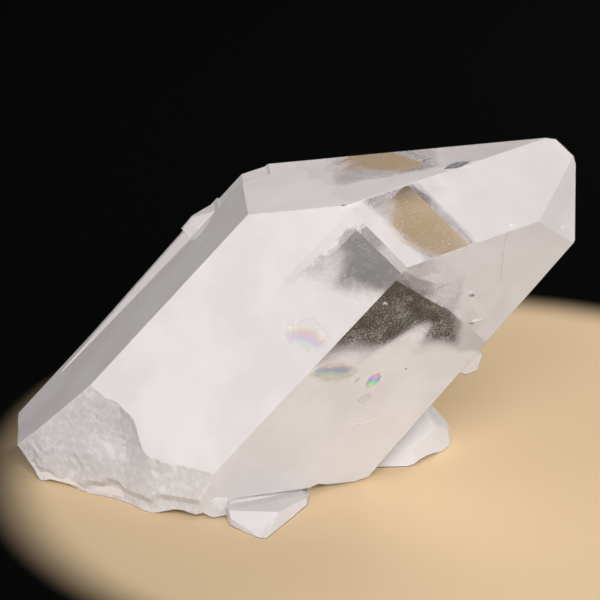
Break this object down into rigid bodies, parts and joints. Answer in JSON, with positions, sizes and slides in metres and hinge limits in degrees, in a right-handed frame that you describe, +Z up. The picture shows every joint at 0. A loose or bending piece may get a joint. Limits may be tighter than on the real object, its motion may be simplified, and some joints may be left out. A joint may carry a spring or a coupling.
{
  "type": "quartz point",
  "caption": "Natural milky-to-clear quartz crystal point with rhombohedral tip faces, a rough broken base and small foot stubs, lying aslant on its break.",
  "frame": {"origin": "centre of the bounding box in plan, on the ground under the crystal", "axes": "+X along the lean towards the tip, +Y away from the large front face, +Z up"},
  "size_m": [0.095, 0.0624, 0.0588],
  "materials": {
    "quartz": "natural crystal faces, glossy, with a frosted break"
  },
  "bodies": {
    "root": {"quartz_point": "quartz"}
  },
  "joints": []
}
